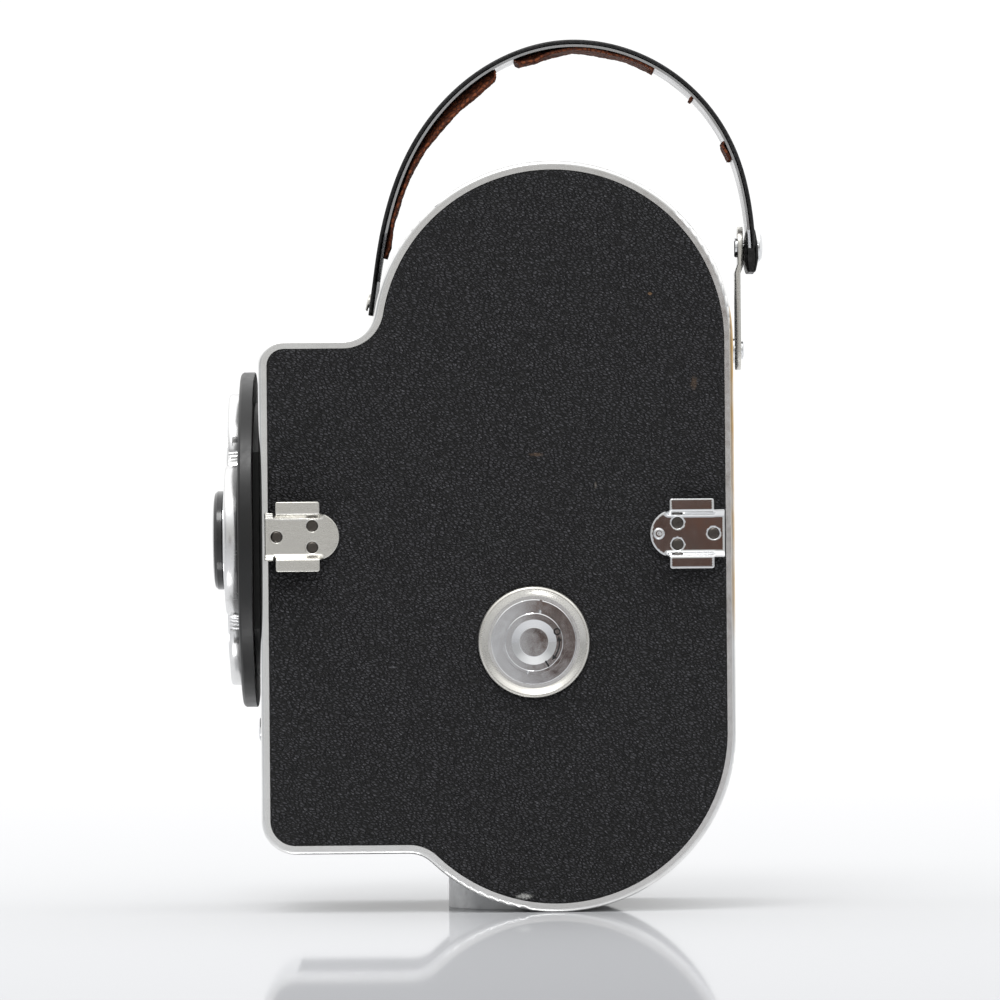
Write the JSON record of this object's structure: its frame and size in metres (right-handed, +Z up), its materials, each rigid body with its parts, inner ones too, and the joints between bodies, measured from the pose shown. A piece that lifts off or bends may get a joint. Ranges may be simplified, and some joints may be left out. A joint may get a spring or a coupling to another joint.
{
  "type": "spring-wound cine camera with lens turret",
  "caption": "Leather-covered spring-wound 16 mm cine camera with a lens turret, lift-off film door, finder shoes, folding winding crank and strap handle.",
  "frame": {"origin": "centre of the tripod socket on the underside of the base foot", "axes": "+Z up, -Y the way the lens ports face, +X the film door side"},
  "size_m": [0.1057, 0.1609, 0.253],
  "materials": {
    "case_alloy": "polished die-cast alloy rim",
    "black_leather": "fine pebble grain",
    "strap_leather": "smooth, worn",
    "lining_leather": "torn suede side",
    "nickel": "satin nickel plate",
    "chrome": "bright chrome plate",
    "turret_chrome": "satin chrome plate",
    "black_enamel": "semi-gloss black enamel",
    "black_plastic": "moulded, glossy",
    "dark_steel": "blackened",
    "steel": "ground",
    "spring_steel": "tempered",
    "brass": "machined",
    "alloy": "machined",
    "felt": "black felt",
    "dial_white": "matt enamel",
    "window": "clear"
  },
  "bodies": {
    "case": {"body_shell": "case_alloy", "band_leather": "black_leather", "front_leather": "black_leather", "side_leather": "black_leather", "base_foot": "alloy", "foot_screws": "dark_steel", "tripod_bush": "steel", "door_seal": "felt", "deck_plate": "alloy", "shutter_bracket": "alloy", "aperture_plate": "chrome", "gate_bracket": "alloy", "film_guides": "steel", "turret_base": "black_enamel", "turret_screw": "chrome", "link_stud": "chrome", "anchor_rivet": "nickel", "counter_bezel": "chrome", "counter_window": "window", "release_bezel": "chrome"},
    "door": {"door_shell": "case_alloy", "door_leather": "black_leather", "front_finder_clip": "nickel", "rear_finder_clip": "chrome", "clip_screws": "dark_steel", "lock_escutcheon": "nickel"},
    "lock": {"lock_knob": "chrome"},
    "grip": {"lock_grip": "chrome"},
    "front_latch": {"latch_bar_front": "steel"},
    "rear_latch": {"latch_bar_rear": "steel"},
    "turret": {"turret_plate": "turret_chrome", "lens_seat_rings": "chrome"},
    "cap": {"port_cap": "black_plastic"},
    "handle": {"handle_strap": "strap_leather", "handle_band": "spring_steel", "handle_lining": "lining_leather", "handle_link": "chrome", "link_rivet": "chrome"},
    "winder": {"winding_arbor": "steel", "winding_hub": "chrome"},
    "crank": {"crank_arm": "chrome"},
    "crank_grip": {"crank_knob": "black_plastic"},
    "speed_dial": {"speed_knob": "chrome"},
    "counter": {"counter_dial": "dial_white"},
    "release": {"release_button": "chrome"},
    "idler": {"idler_gear": "brass"},
    "feed": {"feed_sprocket": "steel"},
    "takeup": {"takeup_sprocket": "steel"},
    "barrel": {"mainspring_barrel": "brass", "barrel_cover": "steel", "mainspring": "spring_steel"},
    "governor": {"governor": "brass"},
    "shutter": {"shutter": "black_enamel"},
    "claw": {"pulldown_claw": "spring_steel"},
    "pressure": {"pressure_plate": "chrome"},
    "supply_reel": {"supply_spindle": "steel", "supply_spool": "black_enamel"},
    "takeup_reel": {"takeup_spindle": "steel", "takeup_spool": "black_enamel"}
  },
  "joints": [
    {"name": "door_lift", "type": "slide", "parent": "case", "child": "door", "axis": [1, 0, 0], "range_m": [0, 0.06]},
    {"name": "lock_turn", "type": "hinge", "parent": "door", "child": "lock", "pos_m": [0.036, 0.0054, 0.0779], "axis": [1, 0, 0], "range_deg": [0, 90]},
    {"name": "grip_fold", "type": "hinge", "parent": "lock", "child": "grip", "pos_m": [0.03842, 0.0054, 0.0779], "axis": [0, -0.2079, -0.9781], "range_deg": [0, 90]},
    {"name": "front_latch_slide", "type": "slide", "parent": "door", "child": "front_latch", "axis": [0, -1, 0], "range_m": [0, 0.0035]},
    {"name": "rear_latch_slide", "type": "slide", "parent": "door", "child": "rear_latch", "axis": [0, 1, 0], "range_m": [0, 0.00351]},
    {"name": "turret_turn", "type": "hinge", "parent": "case", "child": "turret", "pos_m": [-0.002, -0.081, 0.1079], "axis": [0, 1, 0], "continuous": true},
    {"name": "cap_pull", "type": "slide", "parent": "turret", "child": "cap", "axis": [0, -1, 0], "range_m": [0, 0.02]},
    {"name": "handle_sway", "type": "hinge", "parent": "case", "child": "handle", "pos_m": [0, -0.03912, 0.1764], "axis": [0, 0.9911, -0.1329], "range_deg": [-15, 15]},
    {"name": "winder_turn", "type": "hinge", "parent": "case", "child": "winder", "pos_m": [-0.04, 0.01182, 0.13], "axis": [-1, 0, 0], "continuous": true},
    {"name": "crank_fold", "type": "hinge", "parent": "winder", "child": "crank", "pos_m": [-0.0426, 0.01182, 0.13], "axis": [0, 1, 0], "range_deg": [0, 90]},
    {"name": "crank_grip_spin", "type": "hinge", "parent": "crank", "child": "crank_grip", "pos_m": [-0.051, 0.01182, 0.086], "axis": [1, 0, 0], "continuous": true},
    {"name": "speed_set", "type": "hinge", "parent": "case", "child": "speed_dial", "pos_m": [-0.04, -0.042, 0.062], "axis": [-1, 0, 0], "range_deg": [0, 300]},
    {"name": "counter_turn", "type": "hinge", "parent": "case", "child": "counter", "pos_m": [-0.037, -0.044, 0.14], "axis": [1, 0, 0], "continuous": true},
    {"name": "release_press", "type": "slide", "parent": "case", "child": "release", "axis": [0, 1, 0], "range_m": [0, 0.002], "stiffness_N_per_m": 500, "springref_m": -0.001},
    {"name": "idler_turn", "type": "hinge", "parent": "case", "child": "idler", "pos_m": [-0.0075, -0.044, 0.108], "axis": [1, 0, 0], "continuous": true},
    {"name": "feed_turn", "type": "hinge", "parent": "case", "child": "feed", "pos_m": [-0.0075, -0.044, 0.14], "axis": [1, 0, 0], "continuous": true},
    {"name": "takeup_turn", "type": "hinge", "parent": "case", "child": "takeup", "pos_m": [-0.0075, -0.044, 0.076], "axis": [1, 0, 0], "continuous": true},
    {"name": "barrel_turn", "type": "hinge", "parent": "case", "child": "barrel", "pos_m": [-0.0075, 0.01182, 0.13], "axis": [1, 0, 0], "continuous": true},
    {"name": "governor_turn", "type": "hinge", "parent": "case", "child": "governor", "pos_m": [-0.0075, -0.0242, 0.0882], "axis": [1, 0, 0], "continuous": true},
    {"name": "shutter_turn", "type": "hinge", "parent": "case", "child": "shutter", "pos_m": [0.0005, -0.06, 0.1079], "axis": [0, 1, 0], "continuous": true},
    {"name": "claw_stroke", "type": "slide", "parent": "case", "child": "claw", "axis": [0, 0, -1], "range_m": [0, 0.00762]},
    {"name": "pressure_lift", "type": "slide", "parent": "case", "child": "pressure", "axis": [0, 1, 0], "range_m": [0, 0.003], "stiffness_N_per_m": 200, "springref_m": -0.002},
    {"name": "supply_reel_turn", "type": "hinge", "parent": "case", "child": "supply_reel", "pos_m": [0.005, 0.0115, 0.1645], "axis": [1, 0, 0], "continuous": true},
    {"name": "takeup_reel_turn", "type": "hinge", "parent": "case", "child": "takeup_reel", "pos_m": [0.005, 0.0115, 0.052], "axis": [1, 0, 0], "continuous": true}
  ],
  "couplings": [
    {"joint": "lock_turn", "follows": "front_latch_slide", "rad_per_m": 448.8},
    {"joint": "rear_latch_slide", "follows": "front_latch_slide", "ratio": 1},
    {"joint": "feed_turn", "follows": "idler_turn", "ratio": -2.0769},
    {"joint": "takeup_turn", "follows": "idler_turn", "ratio": -2.0769},
    {"joint": "barrel_turn", "follows": "idler_turn", "ratio": -0.5625},
    {"joint": "governor_turn", "follows": "idler_turn", "ratio": -3.375},
    {"joint": "shutter_turn", "follows": "idler_turn", "ratio": 16.615},
    {"joint": "counter_turn", "follows": "idler_turn", "ratio": -0.0041538}
  ]
}
